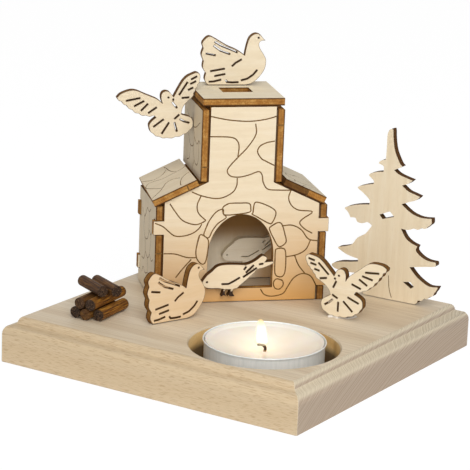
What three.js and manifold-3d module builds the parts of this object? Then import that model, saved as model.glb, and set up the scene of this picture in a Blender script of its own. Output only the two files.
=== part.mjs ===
// Wooden tealight holder: a laser-cut plywood house with doves, a fir and a
// stack of logs on a moulded beech block, and a tealight in a round recess.
// Millimetres, +Z up. The origin is the middle of the block's underside, and
// the house and the tealight face -Y, along the block's diagonal.

import * as THREE from "three";
import { mergeVertices } from "three/addons/utils/BufferGeometryUtils.js";
import Module from "manifold-3d";

const wasm = await Module();
wasm.setup();

// Beech block, square, with a moulded upper edge
const blockSide = 110;
const blockThick = 14.8;
const mouldDrop = 5.5;
const lowerRoundInset = 1.9;
const lowerRoundRise = 2.8;
const stepInset = 1.6;
const stepRise = 0.6;
const upperRoundInset = 1.4;

// Round recess for the tealight, towards the front corner
const recessDia = 47.2;
const recessDepth = 11;
const recessRimRound = 0.5;
const recessForward = 35.8;
const recessAcross = -0.6;

// Plywood and its glued seams
const ply = 2.5;
const seam = 0.25;
const kerf = 0.5;

// House
const houseWidth = 57;
const houseDepth = 28.5;
const houseSetBack = 9;
const houseShift = 1.2;
const wallHeight = 32.6;
const roofPitch = 25;
const rightShoulderDrop = 1.1;
const rightWallDrop = 0.4;
const leftEave = 0.37;
const rightEave = -1.57;
const roofSpare = 0.7;
const roofTaper = 0.9;
const leftRoofForward = 1.2;
const rightRoofForward = 0.3;
const towerWidth = 27.2;
const towerShift = -0.7;
const towerHeight = 65.4;
const towerSideDrop = 1.3;
const lidNarrow = 0.4;
const lidShort = 1.9;
const slotWidth = 9.9;
const slotDepth = 7;
const archWidth = 21.8;
const archSpring = 15.6;
const archRise = 13.8;
const sillHeight = 4.5;
const tabHeight = 4.6;
const tabHeights = [4.65, 23.1];
const tabProud = 0.7;

// Doves: how tall each one is, where its foot or seat lies, and how far it is
// turned
const lidDoveHeight = 17.05;
const lidDoveBehindSlot = 3.2;
const lidDoveAcross = -0.6;
const lidDoveTurn = -3;
const frontDoveAt = [-24.5, -9.8];
const frontDoveTurn = 23.3;
const frontDoveHeight = 17.65;
const leftFlyerHeight = 21.8;
const leftFlyerBehindFront = 13;
const leftFlyerRise = 52.2;
const rightFlyerAt = [31.3, -13.3];
const rightFlyerTurn = -39.8;
const rightFlyerTilt = 16.2;
const rightFlyerHeight = 22.23;
const peckingDoveHeight = 13.66;
const peckingDoveAcross = -1.2;
const peckingDoveRise = 2.6;
const insideDoveAcross = 11.1;
const insideDoveRise = 4.1;

// Fir
const firHeight = 57.55;
const firAt = [54.1, 3.9];
const firTurn = -43;

// Logs: three and two side by side, and two laid across them, each slid a
// little along its length
const logDia = 3.7;
const logEndRound = 0.3;
const bottomLogLength = 16.2;
const middleLogLength = 19.5;
const crossLogLength = 14;
const stackAt = [-46.6, 0.1];
const stackTurn = 49.5;
const bottomSlides = [0.9, -0.7, -0.2];
const middleSlides = [0.75, 0.75];
const crossSlides = [-0.8, 0.8];
const crossTurn = 109;
const crossSpread = 4.15;

// Tealight
const cupDia = 37.6;
const cupRimDia = 38.5;
const cupHeight = 12.4;
const cupWall = 0.3;
const cupFootRound = 1.2;
const waxLevel = 0.8;
const waxBank = 1.2;
const waxPoolDip = 3.2;
const wickDia = 1;
const wickStand = 2.4;
const wickLean = -2.3;
const wickBow = 0.45;
const tabDia = 12;
const tabThick = 0.4;
const tabNeckDia = 3;
const tabNeckHeight = 3;

const roundSegments = 64;
const cutOver = 1;

const rad = THREE.MathUtils.degToRad;

const birchPly = new THREE.MeshStandardMaterial({ color: 0xe9dab8, roughness: 0.75, metalness: 0 });
const beech = new THREE.MeshStandardMaterial({ color: 0xcfbc9e, roughness: 0.65, metalness: 0 });
const stainedDowel = new THREE.MeshStandardMaterial({ color: 0x7a4a22, roughness: 0.6, metalness: 0 });
const aluminium = new THREE.MeshStandardMaterial({ color: 0xb9bdb8, roughness: 0.35, metalness: 1 });
const tinplate = new THREE.MeshStandardMaterial({ color: 0xa8a8a4, roughness: 0.4, metalness: 1 });
const paraffin = new THREE.MeshStandardMaterial({ color: 0xfbebd7, roughness: 0.35, metalness: 0 });
const charredCotton = new THREE.MeshStandardMaterial({ color: 0x2a201a, roughness: 0.95, metalness: 0 });

function node(name, geometry, material) {
  const mesh = new THREE.Mesh(geometry, material);
  mesh.name = name;
  return mesh;
}

// Booleans on closed meshes
function solid(geometry) {
  const bare = geometry.clone();
  bare.deleteAttribute("normal");
  bare.deleteAttribute("uv");
  const merged = mergeVertices(bare, 1e-4);
  const vertProperties = new Float32Array(merged.attributes.position.array);
  const triVerts = new Uint32Array(merged.index.array);
  return new wasm.Manifold(new wasm.Mesh({ numProp: 3, vertProperties, triVerts }));
}

function geometryOf(manifold) {
  const mesh = manifold.getMesh();
  const geometry = new THREE.BufferGeometry();
  geometry.setAttribute("position", new THREE.BufferAttribute(new Float32Array(mesh.vertProperties), 3));
  geometry.setIndex(new THREE.BufferAttribute(new Uint32Array(mesh.triVerts), 1));
  geometry.computeVertexNormals();
  return geometry;
}

// A revolved body that stands along +Z; four segments give a square one with
// its corners on the X and Y axes.
function revolved(profile, segments) {
  const points = profile.map(([radius, height]) => new THREE.Vector2(radius, height));
  return new THREE.LatheGeometry(points, segments).rotateX(Math.PI / 2);
}

// Points of a quarter ellipse from one profile point to another. It leaves the
// first point along the height and reaches the second along the radius.
function quarterRound([x0, z0], [x1, z1], steps) {
  const points = [];
  for (let i = 1; i <= steps; i++) {
    const angle = (i / steps) * (Math.PI / 2);
    points.push([x1 + (x0 - x1) * Math.cos(angle), z0 + (z1 - z0) * Math.sin(angle)]);
  }
  return points;
}

// Laser-cut outlines: each run is a smooth curve through its points, runs meet
// in sharp corners, and a run of two points is straight.
function cutOutline(runs) {
  const points = [];
  for (const run of runs) {
    const corners = run.map(([x, z]) => new THREE.Vector2(x, z));
    const steps = run.length === 2 ? 1 : (run.length - 1) * 3;
    points.push(...new THREE.SplineCurve(corners).getPoints(steps).slice(1));
  }
  if (THREE.ShapeUtils.isClockWise(points)) points.reverse();
  return new THREE.Shape(points);
}

// A scalloped edge: one shallow bow between each two notches, bulging to the
// left of the way that the notches run.
function scallops(notches, bulge) {
  const runs = [];
  for (let i = 1; i < notches.length; i++) {
    const [ax, az] = notches[i - 1];
    const [bx, bz] = notches[i];
    const span = Math.hypot(bx - ax, bz - az);
    const side = [-(bz - az) / span, (bx - ax) / span];
    const middle = [(ax + bx) / 2 + side[0] * bulge, (az + bz) / 2 + side[1] * bulge];
    runs.push([notches[i - 1], middle, notches[i]]);
  }
  return runs;
}

// A stroke cut through the plywood: a narrow slot of the kerf's width along a
// line of points, with pointed ends.
function stroke(points) {
  const left = [];
  const right = [];
  points.forEach(([x, z], i) => {
    const [px, pz] = points[Math.max(i - 1, 0)];
    const [nx, nz] = points[Math.min(i + 1, points.length - 1)];
    const run = Math.hypot(nx - px, nz - pz);
    const offset = [(-(nz - pz) / run) * (kerf / 2), ((nx - px) / run) * (kerf / 2)];
    left.push(new THREE.Vector2(x + offset[0], z + offset[1]));
    right.unshift(new THREE.Vector2(x - offset[0], z - offset[1]));
  });
  return new THREE.Path([...left, ...right]);
}

function eyeHole([x, z]) {
  const hole = new THREE.Path();
  hole.absarc(x, z, kerf * 0.6, 0, 2 * Math.PI, true);
  return new THREE.Path(hole.getPoints(4).slice(0, -1));
}

// A sheet of plywood that stands in the XZ plane, its front face at y = 0
function uprightSheet(shape, curveSegments = 12) {
  const sheet = new THREE.ExtrudeGeometry(shape, { depth: ply, bevelEnabled: false, curveSegments });
  return sheet.rotateX(Math.PI / 2).translate(0, ply, 0);
}

// Sitting dove in profile, beak to +X, its foot at z = 0
const sittingDove = {
  runs: [
    [[-8.6, 15.2], [-7.5, 16], [-6, 15.7], [-1.3, 13], [1.5, 11.8], [3.3, 10.8], [4.7, 9.8]],
    [[4.7, 9.8], [5.2, 12.7], [6.1, 15.6], [7.9, 17], [9.6, 16.7], [10.5, 15.7], [11.4, 14.8]],
    [[11.4, 14.8], [10.1, 14.7], [9.3, 13.8], [9.7, 12.2], [11.3, 9.7], [11.9, 7.8], [11.3, 4.9],
      [9.2, 2], [7.2, 0.5], [5, 0]],
    [[5, 0], [-7.4, 0]],
    ...scallops([[-7.4, 0], [-8, 3.8], [-8.9, 7.9], [-9.1, 12.1], [-8.6, 15.2]], 0.7),
  ],
  strokes: [
    [[-5.4, 14.3], [-3, 12.9], [-0.6, 12], [2.2, 10.8]],
    [[-5.7, 13], [-3.3, 11.3], [-0.2, 10.2]],
    [[-8.2, 10.4], [-5, 9.8]],
    [[0.6, 6.2], [1.7, 7.3], [3.7, 8.5]],
    [[-6.5, 4.5], [-1.8, 5.4]],
    [[-5.1, 2.9], [-1.6, 3.6]],
    [[-6.9, 1], [-5.3, 1.1], [-2.9, 1.7]],
    [[-1.3, 1.6], [-0.9, 0.9], [0.9, 0.8], [2.9, 0.9]],
    [[3.8, 1.5], [5.9, 2.1], [7.8, 3.5], [9, 5]],
  ],
  eyes: [[9.1, 15.7]],
};

// Flying dove, its tail's lowest point at z = 0 and its broad wing to -X
const tailTip = [7.5, 4.3];
const flyingDove = {
  runs: [
    [[-17.8, 13.4], [-16.7, 14.6], [-14.7, 15.5], [-12.8, 15.9], [-11, 15.6], [-8.5, 14.5],
      [-5.5, 13.3], [-4, 12.5], [-2.8, 11.4]],
    [[-2.8, 11.4], [-3.3, 12.9], [-3.3, 14.2], [-2.8, 15.1], [-1.8, 15.5], [-0.6, 15.2], [0.1, 14.4],
      [0.8, 13.5]],
    [[0.8, 13.5], [2.1, 16], [3.5, 18.5], [4.9, 20.1], [6.5, 21], [8, 21.6]],
    [[8, 21.6], [9.1, 21.2], [9.4, 20.1], [9.2, 18.8]],
    ...scallops([[9.2, 18.8], [8.6, 17.6], [7.9, 16.2], [7.3, 14.8], [6.9, 13.4]], 0.25),
    [[6.9, 13.4], [5.3, 11.9], [4.2, 10.5], [3.7, 9.2], [3.5, 7.8]],
    [[3.5, 7.8], [4.8, 7.4], [6.6, 6.8], [7.4, 5.6], tailTip],
    ...scallops([tailTip, [6.4, 2.5], [4.4, 1.1], [1.8, 0.3], [-1, 0], [-3.6, 0.4], [-5.6, 1.4],
      [-6.9, 3.2]], 0.35),
    [[-6.9, 3.2], [-7, 4.4], [-6.2, 5.6], [-4.8, 6.8]],
    [[-4.8, 6.8], [-5.6, 7.5]],
    ...scallops([[-5.6, 7.5], [-8.2, 7.5], [-10.6, 8.2], [-12.7, 9.4], [-14.6, 10.9], [-16.2, 12.2],
      [-17.8, 13.4]], 0.4),
  ],
  strokes: [
    [[-14.8, 12.4], [-10.2, 13.3]],
    [[-12.1, 10.6], [-8.9, 12.3]],
    [[-9.8, 9.1], [-7.6, 11.4]],
    [[-7.4, 8.3], [-4.7, 10.2]],
    [[2.6, 14.2], [5.2, 18.4]],
    [[6.4, 19.3], [8.3, 20.3]],
    [[6.2, 17.8], [8, 18.7]],
    [[5.5, 15.8], [7.1, 16.6]],
    [[3.5, 13.2], [5.9, 13.4]],
    [[0.4, 11.8], [2, 9.9]],
    [[1.3, 6.3], [2.8, 7.7]],
    [[-5.6, 3.7], [-2.3, 6.2]],
    [[-2.8, 1.4], [-0.5, 5.1]],
    [[1.3, 5.1], [2.2, 2.1]],
    [[3.1, 6.2], [4.3, 5.5], [6.2, 4.9]],
  ],
  eyes: [[-0.9, 13.4], [0.7, 12.7]],
};

// Pecking dove, its beak to -X and its toes at z = 0
const peckingDove = {
  runs: [
    [[-10.5, 5.4], [-9.2, 7.2], [-7.5, 8.6], [-6.2, 9.9], [-4.6, 10.6], [-2, 10.8], [0.9, 10.7],
      [3.7, 10.6], [5.6, 11.2], [7.3, 12.2], [8.4, 13.1], [9.2, 13.6]],
    [[9.2, 13.6], [10.7, 12.8], [10, 11.3]],
    [[10, 11.3], [12.6, 11.5], [13, 10.9]],
    [[13, 10.9], [11.4, 10.1], [9.6, 9.4], [7.6, 8.9], [6.6, 7.8], [5.1, 6.4], [3.1, 4.6], [1.9, 3.6],
      [1, 2.7], [-0.3, 2.4]],
    [[-0.3, 2.4], [-0.4, 1], [0.2, 0], [-1.4, 0.1], [-1.6, 0.6], [-2.2, 0], [-1.5, 1], [-1.1, 2.3]],
    [[-1.1, 2.3], [-2.9, 2.4]],
    [[-2.9, 2.4], [-3, 1.1], [-2.6, 0], [-3.4, 0.4], [-4.2, 0], [-3.7, 1.2], [-3.5, 2.5]],
    [[-3.5, 2.5], [-5.6, 2.8], [-7.7, 2.8], [-9.4, 3.1], [-10.4, 4], [-10.7, 4.8], [-10.5, 5.4]],
  ],
  strokes: [
    [[-4.2, 4.2], [-1.9, 4.2], [-0.2, 5.1], [1.8, 6.3]],
    [[3.1, 8.9], [3.8, 9.9]],
    [[3.8, 7.9], [6.3, 10.4]],
    [[2.9, 6.4], [7.3, 9.4]],
    [[8.1, 10.6], [9.4, 10.8]],
  ],
  eyes: [[-9.1, 5]],
};

// Fir with tiers of drooping boughs, its flat foot at z = 0
const fir = {
  runs: [
    [[-6.6, 57.2], [-5.8, 57.5], [-5.3, 57.2], [-5, 54], [-4.2, 50.3], [-2.3, 46.6], [-1.2, 45.6]],
    [[-1.2, 45.6], [-2.4, 44.9], [-4.2, 44]],
    [[-4.2, 44], [-2.6, 42.9], [0, 42.1], [2.7, 41.5]],
    [[2.7, 41.5], [1.2, 40.2], [-1, 39.3]],
    [[-1, 39.3], [1.3, 37.7], [3.4, 37.1], [5.7, 36.5]],
    [[5.7, 36.5], [4.4, 35.2], [2, 34.2], [-0.8, 33]],
    [[-0.8, 33], [2.8, 30.6], [6.6, 29.6], [10.3, 29.9]],
    [[10.3, 29.9], [10.4, 28.2], [9.2, 27]],
    ...scallops([[9.2, 27], [6.9, 26.2], [4.2, 25.6], [-0.5, 24.8]], 0.5),
    [[-0.5, 24.8], [1.2, 22.1], [3.3, 20.6], [5.8, 19.8]],
    [[5.8, 19.8], [5.4, 18.2], [7.6, 16.4], [10, 15.6], [12.7, 15.5]],
    [[12.7, 15.5], [12.6, 14.1], [9, 13.4], [3.4, 12.3]],
    [[3.4, 12.3], [5.8, 9.8], [8.3, 8.1], [11, 7], [14.1, 7.3]],
    [[14.1, 7.3], [13.6, 6.1], [12.8, 4.9]],
    ...scallops([[12.8, 4.9], [11.4, 3.6], [9.4, 2.6], [7.1, 1.5], [5.8, 0]], 0.4),
    [[5.8, 0], [-13.1, 0]],
    [[-13.1, 0], [-13.8, 3.6], [-14.6, 7]],
    [[-14.6, 7], [-19.5, 6.6], [-24, 7], [-25.4, 8.3], [-22.6, 9.6], [-19, 10.2], [-15.6, 10.9]],
    [[-15.6, 10.9], [-15.7, 11.8]],
    [[-15.7, 11.8], [-19.6, 12.5], [-22, 13.5], [-23.4, 14.5], [-20.8, 15.3], [-18.2, 16.4], [-16.3, 19],
      [-13.4, 20.9], [-11.2, 24]],
    [[-11.2, 24], [-12.8, 24.9], [-14.8, 24.2], [-16.7, 24.4], [-17.4, 25.6], [-19.3, 25.5]],
    [[-19.3, 25.5], [-20.3, 27.2], [-21.5, 28.5], [-17.4, 30.1], [-12.6, 31]],
    [[-12.6, 31], [-12.6, 32.6], [-15.2, 34.7], [-17.2, 36.1], [-14.4, 37.4], [-11.4, 38.2]],
    [[-11.4, 38.2], [-11.5, 39.4], [-13.3, 41], [-10.7, 42.3], [-8, 42.8]],
    [[-8, 42.8], [-8.1, 44.7], [-9.9, 45.4], [-9, 46.5], [-7.4, 47]],
    [[-7.4, 47], [-7.3, 51.4], [-7.3, 55.4], [-6.6, 57.2]],
  ],
  holes: [
    [[-8.6, 28.2], [-4.9, 29.9], [-3.2, 28.3], [-7.4, 26.9]],
    [[1.3, 6.9], [4, 7.3], [5.4, 5.9], [4.3, 5.1]],
  ],
};

// How much a design grows from its drawing to its height on the piece
function growth(design, height) {
  const drawn = new THREE.Box2().setFromPoints(cutOutline(design.runs).getPoints());
  return height / (drawn.max.y - drawn.min.y);
}

function cutFigure({ runs, strokes = [], eyes = [], holes = [] }, height) {
  const scale = growth({ runs }, height);
  const sized = (points) => points.map(([x, z]) => [x * scale, z * scale]);
  const shape = cutOutline(runs.map(sized));
  const gap = (points) => new THREE.Path(points.map(([x, z]) => new THREE.Vector2(x, z)));
  shape.holes = [
    ...strokes.map((points) => stroke(sized(points))),
    ...sized(eyes).map(eyeHole),
    ...holes.map((points) => gap(sized(points))),
  ];
  return uprightSheet(shape);
}

const model = new THREE.Group();

// Beech block
function blockGeometry() {
  const reach = blockSide / Math.SQRT2;
  const mouldFoot = blockThick - mouldDrop;
  const stepOuter = [lowerRoundInset, mouldFoot + lowerRoundRise];
  const stepInner = [lowerRoundInset + stepInset, stepOuter[1] + stepRise];
  const topEdge = [stepInner[0] + upperRoundInset, blockThick];
  const insets = [
    [0, 0],
    [0, mouldFoot],
    ...quarterRound([0, mouldFoot], stepOuter, 5),
    stepInner,
    ...quarterRound(stepInner, topEdge, 4),
  ];
  const profile = [[0, 0]];
  for (const [inset, height] of insets) profile.push([reach - inset * Math.SQRT2, height]);
  profile.push([0, blockThick]);
  const block = solid(revolved(profile, 4));

  const radius = recessDia / 2;
  const floor = blockThick - recessDepth;
  const cutter = revolved([
    [0, floor],
    [radius, floor],
    [radius, blockThick - recessRimRound],
    [radius + recessRimRound, blockThick],
    [radius + recessRimRound, blockThick + cutOver],
    [0, blockThick + cutOver],
  ], roundSegments);
  cutter.translate(recessAcross, -recessForward, 0);
  return geometryOf(block.subtract(solid(cutter)));
}
model.add(node("base_block", blockGeometry(), beech));

// House. Inside this group x runs from the house's middle, y from its front
// face and z from the underside of its walls.
const house = new THREE.Group();
house.position.set(houseShift, houseSetBack, blockThick + seam);
model.add(house);

const halfWidth = houseWidth / 2;
const innerHalf = halfWidth - ply;
const towerHalf = towerWidth / 2;
const towerInnerHalf = towerHalf - ply;
const roofSlope = Math.tan(rad(roofPitch));
const shoulderAt = (x, side) => (
  wallHeight + roofSlope * (halfWidth - x) - (side > 0 ? rightShoulderDrop : 0)
);

// The front and back panels stand between the walls, and their tabs pass
// through the walls' notches.
function gableShape() {
  const edge = innerHalf - seam;
  const towerEdge = towerInnerHalf - seam;
  const half = (side) => {
    const points = [[edge, 0]];
    for (const low of tabHeights) {
      points.push([edge, low]);
      points.push([halfWidth + tabProud, low]);
      points.push([halfWidth + tabProud, low + tabHeight]);
      points.push([edge, low + tabHeight]);
    }
    points.push([edge, shoulderAt(edge, side)]);
    const neck = towerEdge + side * towerShift;
    points.push([neck, shoulderAt(neck, side)]);
    points.push([neck, towerHeight - seam]);
    return points.map(([x, z]) => new THREE.Vector2(side * x, z));
  };
  return new THREE.Shape([...half(1), ...half(-1).reverse()]);
}

function archPath() {
  const arch = new THREE.Path();
  const half = archWidth / 2;
  arch.moveTo(half, sillHeight);
  arch.lineTo(half, archSpring);
  arch.absellipse(0, archSpring, half, archRise, 0, Math.PI, false, 0);
  arch.lineTo(-half, sillHeight);
  arch.closePath();
  return arch;
}

const frontShape = gableShape();
frontShape.holes.push(archPath());
house.add(node("front_panel", uprightSheet(frontShape, 24), birchPly));

const backPanel = node("back_panel", uprightSheet(gableShape()), birchPly);
backPanel.position.y = houseDepth - ply;
house.add(backPanel);

// A wall's outline in its own plane: x runs from the front edge to the back
function wallGeometry(height) {
  const notch = ply + seam;
  const front = [[0, 0]];
  for (const low of tabHeights) {
    front.push([0, low - seam]);
    front.push([notch, low - seam]);
    front.push([notch, low + tabHeight + seam]);
    front.push([0, low + tabHeight + seam]);
  }
  front.push([0, height]);
  const back = front.map(([y, z]) => [houseDepth - y, z]).reverse();
  const points = [...back.reverse(), ...front.reverse()];
  const shape = new THREE.Shape(points.map(([y, z]) => new THREE.Vector2(y, z)));
  return uprightSheet(shape).translate(0, -ply, 0).rotateZ(Math.PI / 2);
}

for (const [name, x, height] of [
  ["left_wall", -halfWidth, wallHeight],
  ["right_wall", innerHalf, wallHeight - rightWallDrop],
]) {
  const wall = node(name, wallGeometry(height), birchPly);
  wall.position.x = x;
  house.add(wall);
}

// The tower's sides stand on the gables' shoulders, outside the tower part
for (const [name, side] of [["tower_left_side", -1], ["tower_right_side", 1]]) {
  const foot = shoulderAt(towerInnerHalf + side * towerShift, side) + seam;
  const height = towerHeight - towerSideDrop - foot;
  const panel = node(name, new THREE.BoxGeometry(ply, houseDepth, height), birchPly);
  const across = towerShift + side * (towerInnerHalf + ply / 2);
  panel.position.set(across, houseDepth / 2, foot + height / 2);
  house.add(panel);
}

// Each roof lies on a wall and the shoulders, and ends against the tower. Its
// eave comes in a little towards the back.
const roofDepth = houseDepth + roofSpare;
for (const [name, side, forward, eave] of [
  ["left_roof", -1, leftRoofForward, leftEave],
  ["right_roof", 1, rightRoofForward, rightEave],
]) {
  const inner = towerHalf + side * towerShift + seam;
  const run = halfWidth + eave - inner;
  const half = run / Math.cos(rad(roofPitch)) / 2;
  const outline = [[-half, 0], [half, 0], [half - roofTaper, roofDepth], [-half, roofDepth]];
  const shape = new THREE.Shape(outline.map(([x, y]) => new THREE.Vector2(side * x, y - forward)));
  const panel = new THREE.ExtrudeGeometry(shape, { depth: ply, bevelEnabled: false });
  const roof = node(name, panel.translate(0, 0, seam), birchPly);
  roof.rotation.y = side * rad(roofPitch);
  roof.position.set(side * (inner + run / 2), 0, shoulderAt(inner + run / 2, side));
  house.add(roof);
}

// The lid has a smoke slot in its middle
const lidWidth = towerWidth - lidNarrow;
const lidDepth = houseDepth - lidShort;
function lidGeometry() {
  const rectangle = (width, depth) => [[-1, -1], [1, -1], [1, 1], [-1, 1]].map(
    ([x, y]) => new THREE.Vector2((x * width) / 2, (y * depth) / 2),
  );
  const shape = new THREE.Shape(rectangle(lidWidth, lidDepth));
  shape.holes.push(new THREE.Path(rectangle(slotWidth, slotDepth)));
  return new THREE.ExtrudeGeometry(shape, { depth: ply, bevelEnabled: false });
}
const lid = node("tower_lid", lidGeometry(), birchPly);
lid.position.set(towerShift, lidDepth / 2, towerHeight);
house.add(lid);

// Doves on the house
const lidDove = node("dove_on_lid", cutFigure(sittingDove, lidDoveHeight), birchPly);
const lidDoveBack = (lidDepth + slotDepth) / 2 + lidDoveBehindSlot;
lidDove.position.set(towerShift + lidDoveAcross, lidDoveBack, towerHeight + ply + seam);
lidDove.rotation.z = rad(lidDoveTurn);
house.add(lidDove);

// The flying dove on the left is glued by its tail and its narrow wing
const leftFlyer = node("dove_flying_left", cutFigure(flyingDove, leftFlyerHeight), birchPly);
const leftFlyerTail = tailTip[0] * growth(flyingDove, leftFlyerHeight);
const leftFlyerAcross = towerShift - towerHalf - seam - leftFlyerTail;
leftFlyer.position.set(leftFlyerAcross, leftFlyerBehindFront, leftFlyerRise);
house.add(leftFlyer);

const peckingFront = node("dove_pecking_front", cutFigure(peckingDove, peckingDoveHeight), birchPly);
peckingFront.position.set(peckingDoveAcross - houseShift, -ply - seam, peckingDoveRise);
house.add(peckingFront);

const peckingInside = node("dove_pecking_inside", cutFigure(peckingDove, peckingDoveHeight), birchPly);
const insideDoveBack = houseDepth - 2 * ply - seam;
peckingInside.position.set(insideDoveAcross - houseShift, insideDoveBack, insideDoveRise);
house.add(peckingInside);

// Figures that stand on the block
function stand(name, geometry, [x, y], turn) {
  geometry.computeBoundingBox();
  const figure = node(name, geometry, birchPly);
  figure.position.set(x, y, blockThick + seam - geometry.boundingBox.min.z);
  figure.rotation.z = rad(turn);
  model.add(figure);
}

stand("dove_front_left", cutFigure(sittingDove, frontDoveHeight), frontDoveAt, frontDoveTurn);

const mirrored = ([x, z]) => [-x, z];
const flyingDoveMirrored = {
  runs: flyingDove.runs.map((run) => run.map(mirrored).reverse()).reverse(),
  strokes: flyingDove.strokes.map((points) => points.map(mirrored)),
  eyes: flyingDove.eyes.map(mirrored),
};
const rightFlyer = cutFigure(flyingDoveMirrored, rightFlyerHeight).rotateY(rad(-rightFlyerTilt));
stand("dove_flying_right", rightFlyer, rightFlyerAt, rightFlyerTurn);

stand("fir_tree", cutFigure(fir, firHeight), firAt, firTurn);

// Logs, each with slightly rounded ends, lying along its own x
function logGeometry(length) {
  const radius = logDia / 2;
  const half = length / 2;
  const profile = [
    [0, -half],
    [radius - logEndRound, -half],
    [radius, -half + logEndRound],
    [radius, half - logEndRound],
    [radius - logEndRound, half],
    [0, half],
  ];
  return revolved(profile, 20).rotateY(Math.PI / 2);
}

const logPitch = logDia + seam;
const rowRise = logPitch * Math.sin(Math.PI / 3);
const logs = new THREE.Group();
logs.position.set(stackAt[0], stackAt[1], blockThick + seam + logDia / 2);
model.add(logs);
let logCount = 0;

// A row of logs side by side, the first one on the right
function addRow(length, turn, pitch, rise, slides) {
  slides.forEach((slide, i) => {
    const across = (i - (slides.length - 1) / 2) * pitch;
    logCount += 1;
    const log = node(`log_${logCount}`, logGeometry(length), stainedDowel);
    log.position.set(slide, across, 0).applyAxisAngle(new THREE.Vector3(0, 0, 1), rad(turn));
    log.position.z = rise;
    log.rotation.z = rad(turn);
    logs.add(log);
  });
}

addRow(bottomLogLength, stackTurn, logPitch, 0, bottomSlides);
addRow(middleLogLength, stackTurn, logPitch, rowRise, middleSlides);
addRow(crossLogLength, crossTurn, crossSpread, rowRise + logPitch, crossSlides);

// Tealight, which lifts out of the recess
const tealight = new THREE.Group();
tealight.position.set(recessAcross, -recessForward, blockThick - recessDepth + seam);
model.add(tealight);

function cupGeometry() {
  const outer = cupDia / 2;
  const inner = outer - cupWall;
  const rim = cupRimDia / 2;
  const lip = (rim - outer) / 2 + cupWall;
  const rimMiddle = rim - lip;
  const profile = [
    [0, 0],
    [outer - cupFootRound, 0],
    ...quarterRoundOut([outer - cupFootRound, 0], [outer, cupFootRound], 3),
    [outer, cupHeight - 2 * lip],
    [rim, cupHeight - lip],
    [rimMiddle, cupHeight],
    [inner, cupHeight - lip],
    [inner, cupFootRound],
    ...quarterRoundOut([inner, cupFootRound], [inner - cupFootRound, cupWall], 2),
    [0, cupWall],
  ];
  return revolved(profile, roundSegments);
}

// A quarter ellipse that leaves the first point along the radius
function quarterRoundOut([x0, z0], [x1, z1], steps) {
  const points = [];
  for (let i = 1; i <= steps; i++) {
    const angle = (i / steps) * (Math.PI / 2);
    points.push([x0 + (x1 - x0) * Math.sin(angle), z1 + (z0 - z1) * Math.cos(angle)]);
  }
  return points;
}
tealight.add(node("tealight_cup", cupGeometry(), aluminium));

const tabFloor = cupWall + seam;
const wickBore = wickDia / 2 + seam;
const waxTop = cupHeight - waxLevel;
const poolFloor = waxTop - waxPoolDip;

// The sustainer disc holds the wick in its neck
function wickTabGeometry() {
  const neck = tabNeckDia / 2;
  const neckTop = tabFloor + tabThick + tabNeckHeight;
  return revolved([
    [wickBore, tabFloor],
    [tabDia / 2, tabFloor],
    [tabDia / 2, tabFloor + tabThick],
    [neck, tabFloor + tabThick],
    [neck, neckTop],
    [wickBore, neckTop],
    [wickBore, tabFloor],
  ], 32);
}
tealight.add(node("wick_tab", wickTabGeometry(), tinplate));

// Wax with a bore for the wick and its tab, and a bowl that has melted out
function waxGeometry() {
  const outer = cupDia / 2 - cupWall - seam;
  const underTab = tabFloor;
  const overTab = tabFloor + tabThick + seam;
  const overNeck = overTab + tabNeckHeight;
  const disc = tabDia / 2 + seam;
  const neck = tabNeckDia / 2 + seam;
  const pool = [1, 0.85, 0.65, 0.4].map((part) => [
    (outer - waxBank) * part,
    waxTop - waxPoolDip * (1 - part * part),
  ]);
  const profile = [
    [disc, underTab],
    [outer - cupFootRound, underTab],
    [outer, underTab + cupFootRound],
    [outer, waxTop],
    ...pool,
    [wickBore, poolFloor],
    [wickBore, overNeck],
    [neck, overNeck],
    [neck, overTab],
    [disc, overTab],
    [disc, underTab],
  ];
  return revolved(profile, roundSegments);
}
tealight.add(node("wax", waxGeometry(), paraffin));

// Wick, upright in the wax and bent over more and more towards its burnt tip
function wickGeometry() {
  const bent = [0, 0.4, 0.7, 1].map((part) => (
    new THREE.Vector3(
      wickLean * part ** 3 + wickBow * Math.sin(part * Math.PI),
      0,
      poolFloor + wickStand * Math.sin((part * Math.PI) / 2),
    )
  ));
  const path = new THREE.CatmullRomCurve3([
    new THREE.Vector3(0, 0, tabFloor),
    new THREE.Vector3(0, 0, (tabFloor + poolFloor) / 2),
    ...bent,
  ]);
  const section = new THREE.Shape();
  section.absarc(0, 0, wickDia / 2, 0, 2 * Math.PI, false);
  return new THREE.ExtrudeGeometry(section, { steps: 14, extrudePath: path, curveSegments: 4 });
}
tealight.add(node("wick", wickGeometry(), charredCotton));

export default model;
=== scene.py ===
"""Wooden tealight holder, dressed for the photograph's view.

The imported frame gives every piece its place. Each plywood sheet is a copy of its
CAD node with softened, scorched edges and burnt lines; the block, the logs, the
cup, the wax and the wick are finished here, and the flame and the glue are added.
Metres, +Z up, the house faces -Y. Lengths are written in millimetres times MM.
"""

import math

import bmesh
import bpy
import numpy as np
from mathutils import Matrix, Vector


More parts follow.
